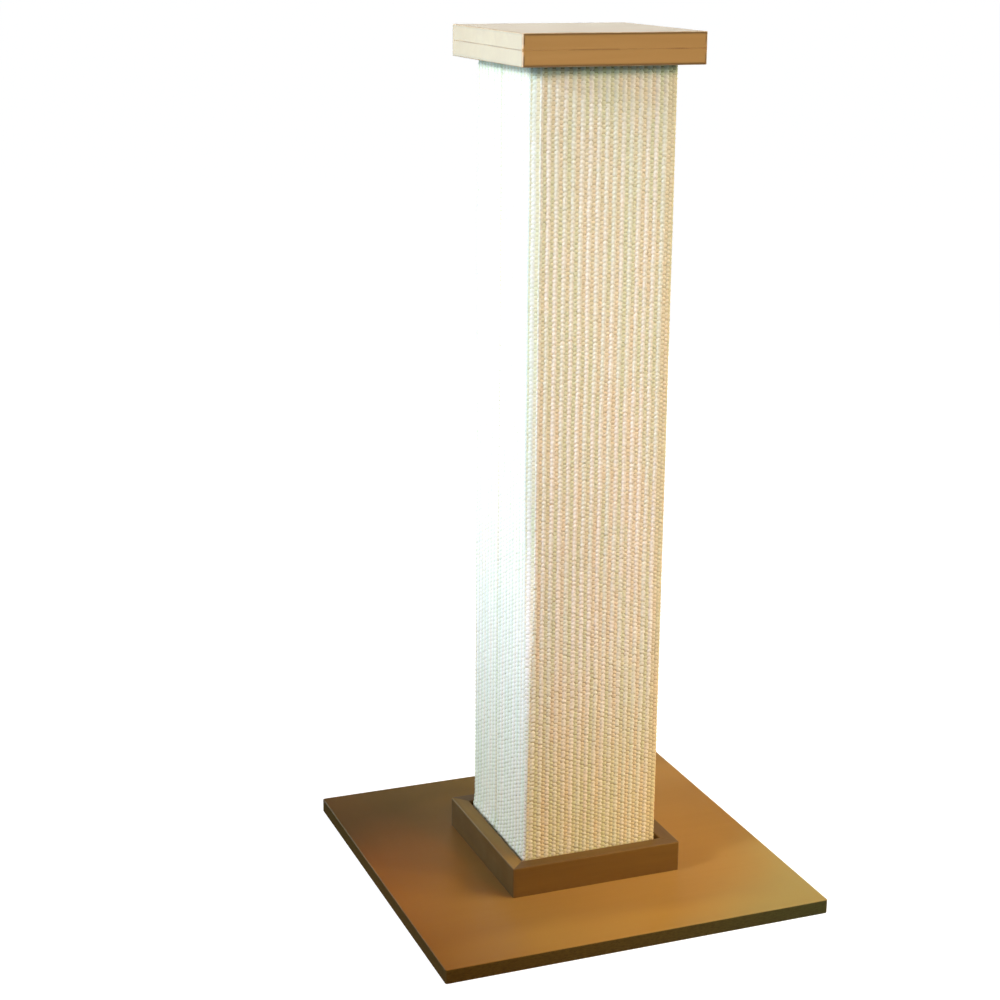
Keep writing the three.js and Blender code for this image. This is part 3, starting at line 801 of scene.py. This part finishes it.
WOOD_DARK, WOOD_LIGHT = (0.373, 0.189, 0.053), (0.486, 0.282, 0.093)
COLLAR_DARK, COLLAR_LIGHT = (0.113, 0.051, 0.008), (0.173, 0.085, 0.014)
BASE_DARK, BASE_LIGHT = (0.349, 0.162, 0.033), (0.423, 0.213, 0.048)

dress(
    "base_board",
    lacquer(
        "base_lacquer",
        "base_board",
        0,
        BASE_DARK,
        BASE_LIGHT,
        (3.1, 7.7, 1.3),
        side=(0.070, 0.036, 0.006),
        side_run=((0.090, 0.050, 0.006), (0.034, 0.040, 0.012)),
        specular=0.15,
        side_mix=0.92,
        rough=(0.30, 0.33),
        wear_and_highlight=(0.22, 0.11, 0.03),
        wear_and_highlight_amount=0.30,
        grain=0.25,
        # painted light and shade on the base top: a lit band along the front, a golden painted sheen towards the front
        # right, deeper orange towards the left and a painted shadow towards the back left
        light_shade_drift=(
            ((0.0, -1.0), 0.14, 0.175, (0.49, 0.25, 0.050), 0.7),
            ((0.75, -0.66), 0.14, 0.24, (0.350, 0.268, 0.090), 0.8),
            ((-0.9, 0.1), 0.05, 0.20, (0.335, 0.105, 0.006), 0.8),
            ((-0.3, 0.95), 0.09, 0.19, (0.135, 0.072, 0.005), 0.80),
        ),
    ),
)
# painted shadow: the left rail of the collar is darkened, standing in for shade on that side
COLLAR_SHADE = {"left": 0.68}
for rail, along, shift in (
    ("front", 0, (1.7, 0.4, 5.2)),
    ("back", 0, (8.3, 2.4, 0.2)),
    ("left", 1, (4.6, 9.1, 3.3)),
    ("right", 1, (6.2, 5.5, 7.4)),
):
    dress(
        "collar_rail_" + rail,
        lacquer(
            "collar_lacquer_" + rail,
            "collar_rail_" + rail,
            along,
            [c * COLLAR_SHADE.get(rail, 1.0) for c in COLLAR_DARK],
            [c * COLLAR_SHADE.get(rail, 1.0) for c in COLLAR_LIGHT],
            shift,
            rough=(0.34, 0.48),
            wear_and_highlight=(0.30, 0.15, 0.05),
            wear_and_highlight_amount=0.30,
            grain=0.9,
            # painted light: the top face of the left rail gets a lighter colour than its darkened sides
            top=(0.28, 0.145, 0.020) if rail == "left" else None,
            specular=0.35,
        ),
    )
for ply, shift in (("lower", (7.4, 1.2, 4.0)), ("upper", (7.4, 1.2, 4.1))):
    dress(
        "cap_board_" + ply,
        lacquer(
            "cap_lacquer_" + ply,
            "cap_board_" + ply,
            0,
            WOOD_DARK,
            WOOD_LIGHT,
            shift,
            rough=(0.285, 0.305),
            # painted highlight: the cap's arrises and corner arcs are mixed strongly toward a pale cream, standing in
            # for light caught on them
            wear_and_highlight=(0.80, 0.62, 0.40),
            wear_and_highlight_amount=0.75,
            grain=0.5,
            rim=0.60,
            joint=0.843,
        ),
    )
for k, panel in enumerate(("front", "back", "left", "right")):
    dress(
        "core_panel_" + panel,
        raw_wood(
            "raw_board_" + panel,
            2,
            (0.52, 0.33, 0.16),
            (0.72, 0.53, 0.31),
            (k * 1.7, k * 2.9, k * 0.6),
        ),
    )
for k, block in enumerate(("bottom", "top")):
    dress(
        "core_block_" + block,
        raw_wood(
            "raw_block_" + block,
            0,
            (0.50, 0.31, 0.14),
            (0.70, 0.50, 0.28),
            (k * 3.7, k * 1.9, k * 2.6),
        ),
    )
steel = metal("plated_steel", (0.72, 0.72, 0.72), (0.50, 0.50, 0.52), (0.29, 0.40))
zinc = metal("insert_zinc", (0.62, 0.60, 0.52), (0.46, 0.43, 0.36), (0.34, 0.50))
for name in nodes:
    if any(w in name for w in ("screw", "bolt", "washer", "staple")):
        dress(name, steel)
    elif "insert" in name:
        dress(name, zinc)

# ------------------------------------------------------------------ stage and light
floor_mesh = bpy.data.meshes.new("studio_floor")
R, Z = 30.0, -0.0003
floor_mesh.from_pydata(
    [(-R, -R, Z), (R, -R, Z), (R, R, Z), (-R, R, Z)], [], [(0, 1, 2, 3)]
)
floor = bpy.data.objects.new("studio_floor", floor_mesh)
scene.collection.objects.link(floor)
floor.visible_diffuse = floor.visible_glossy = floor.visible_shadow = False
m = bpy.data.materials.new("studio_floor")
m.use_nodes = True
nt = m.node_tree
nt.nodes.clear()
out = nt.nodes.new("ShaderNodeOutputMaterial")
add = nt.nodes.new("ShaderNodeAddShader")
glow = nt.nodes.new("ShaderNodeEmission")
glow.inputs["Color"].default_value = (1, 1, 1, 1)
glow.inputs["Strength"].default_value = 0.985
paper = nt.nodes.new("ShaderNodeBsdfDiffuse")
paper.inputs["Color"].default_value = (0.30, 0.30, 0.30, 1)
nt.links.new(glow.outputs[0], add.inputs[0])
nt.links.new(paper.outputs[0], add.inputs[1])
through = nt.nodes.new("ShaderNodeBsdfTransparent")
sides = nt.nodes.new("ShaderNodeMixShader")
back = nt.nodes.new("ShaderNodeNewGeometry")
nt.links.new(back.outputs["Backfacing"], sides.inputs[0])
nt.links.new(add.outputs[0], sides.inputs[1])
nt.links.new(through.outputs[0], sides.inputs[2])
nt.links.new(sides.outputs[0], out.inputs["Surface"])
m.cycles.emission_sampling = "NONE"
floor_mesh.materials.append(m)

world = bpy.data.worlds.new("studio")
scene.world = world
world.use_nodes = True
world.cycles_visibility.glossy = False
nt = world.node_tree
nt.nodes.clear()
out = nt.nodes.new("ShaderNodeOutputWorld")
seen = nt.nodes.new("ShaderNodeBackground")
seen.inputs["Color"].default_value = (1, 1, 1, 1)
seen.inputs["Strength"].default_value = 1.0
soft = nt.nodes.new("ShaderNodeBackground")
soft.inputs["Strength"].default_value = 1.0
tc = nt.nodes.new("ShaderNodeTexCoord")
way = nt.nodes.new("ShaderNodeSeparateXYZ")
nt.links.new(tc.outputs["Generated"], way.inputs[0])
dx, dy, dz = way.outputs
level = math_node(
    nt,
    "SQRT",
    math_node(nt, "ADD", math_node(nt, "MULTIPLY", dx, dx), math_node(nt, "MULTIPLY", dy, dy)),
)


def lobe(total, toward, rise, fall, colour):
    """Adds soft light from one side: rise and fall are the heights where it begins and ends."""
    f = math_node(
        nt,
        "MULTIPLY",
        spread(nt, dz, rise[0], rise[1], 0, 1, True),
        spread(nt, dz, fall[0], fall[1], 1, 0, True),
    )
    if toward is not None:
        d = math_node(
            nt,
            "ADD",
            math_node(nt, "MULTIPLY", dx, toward[0]),
            math_node(nt, "MULTIPLY", dy, toward[1]),
        )
        d = math_node(nt, "DIVIDE", d, level)
        f = math_node(nt, "MULTIPLY", f, spread(nt, d, 0.45, 0.95, 0, 1, True))
    return mix(nt, 1.0, total, mix(nt, f, (0, 0, 0), colour), "ADD")


soft_light = lobe((0.02, 0.02, 0.02), (-1, 0), (-0.10, -0.02), (0.10, 0.22), (4.37, 5.44, 7.73))
nt.links.new(soft_light, soft.inputs["Color"])
path = nt.nodes.new("ShaderNodeLightPath")
pick = nt.nodes.new("ShaderNodeMixShader")
nt.links.new(path.outputs["Is Camera Ray"], pick.inputs[0])
nt.links.new(soft.outputs[0], pick.inputs[1])
nt.links.new(seen.outputs[0], pick.inputs[2])
nt.links.new(pick.outputs[0], out.inputs["Surface"])


def aim(ob, at, target):
    ob.location = at
    ob.rotation_mode = "QUATERNION"
    ob.rotation_quaternion = (Vector(target) - Vector(at)).to_track_quat("-Z", "Y")


def area(name, at, target, size, power, colour, glossy=True, diffuse=True):
    d = bpy.data.lights.new(name, "AREA")
    d.shape, d.size, d.size_y = "RECTANGLE", size[0], size[1]
    d.energy, d.color = power, colour
    ob = bpy.data.objects.new(name, d)
    scene.collection.objects.link(ob)
    aim(ob, at, target)
    ob.visible_camera = False
    ob.visible_glossy, ob.visible_diffuse = glossy, diffuse
    return ob


def spot(name, at, target, angle, blend, radius, power, colour, glossy=True):
    d = bpy.data.lights.new(name, "SPOT")
    d.spot_size, d.spot_blend = math.radians(angle), blend
    d.shadow_soft_size = radius
    d.energy, d.color = power, colour
    ob = bpy.data.objects.new(name, d)
    scene.collection.objects.link(ob)
    aim(ob, at, target)
    ob.visible_camera = False
    ob.visible_glossy = glossy
    return ob


area("panel_back_left", (-0.95, 1.75, 0.62), (-0.09, 0.0, 0.84), (0.5, 0.5), 5.7, (0.42, 0.81, 1.0))
area("fill_right", (2.3, -0.9, 1.1), (0.07, 0.0, 0.45), (0.8, 0.8), 45.8, (1.0, 0.986, 0.806))
area("fill_right_low", (2.6, 0.7, 0.5), (0.07, 0.02, 0.45), (0.8, 0.8), 9.0, (1.0, 0.955, 0.88), glossy=False)
area("fill_back", (0.9, 2.6, 0.45), (0.03, 0.07, 0.45), (0.8, 0.6), 22.0, (1.0, 0.93, 0.84), glossy=False)
area("horizon", (0.0, 14.0, 1.95), (0.0, 0.0, 0.85), (24.0, 2.4), 572.0, (0.99, 1.0, 0.92), diffuse=False)
spot("left_high", (-2.4, -0.35, 1.75), (-0.07, 0.0, 0.72), 30.0, 1.0, 0.35, 481.4, (0.715, 0.823, 1.0))
spot("left_mid", (-2.4, -0.35, 1.0), (-0.07, 0.0, 0.42), 18.0, 1.0, 0.25, 185.0, (0.60, 0.665, 1.0))
spot("front_low", (0.9, -2.7, 1.7), (0.02, -0.07, 0.3), 20.0, 1.0, 0.3, 124.1, (1.0, 0.402, 0.172))
spot("front_high", (-0.35, -2.9, 2.2), (0.0, 0.0, 0.68), 20.0, 1.0, 0.35, 184.0, (1.0, 0.777, 0.73))
spot("front_mid", (0.1, -3.1, 1.6), (0.0, 0.0, 0.62), 17.0, 1.0, 0.3, 124.0, (0.887, 1.0, 0.84))
spot("base_front", (1.6, -1.9, 1.5), (0.16, -0.16, 0.015), 24.0, 1.0, 0.25, 61.0, (1.0, 0.64, 0.435))
spot("base_right", (1.5, -1.2, 1.3), (0.2, -0.05, 0.015), 20.0, 1.0, 0.2, 130.2, (1.0, 0.969, 0.661))
spot("back_high", (0.7, 2.6, 0.95), (0.0, 0.07, 0.5), 19.0, 1.0, 0.3, 80.0, (1.0, 0.86, 0.76), glossy=False)
spot("below", (0.0, 0.0, -1.8), (0.0, 0.0, 0.0), 16.0, 0.6, 0.3, 220.0, (1.0, 0.98, 0.95))

# ------------------------------------------------------------------ done
bpy.context.view_layer.update()
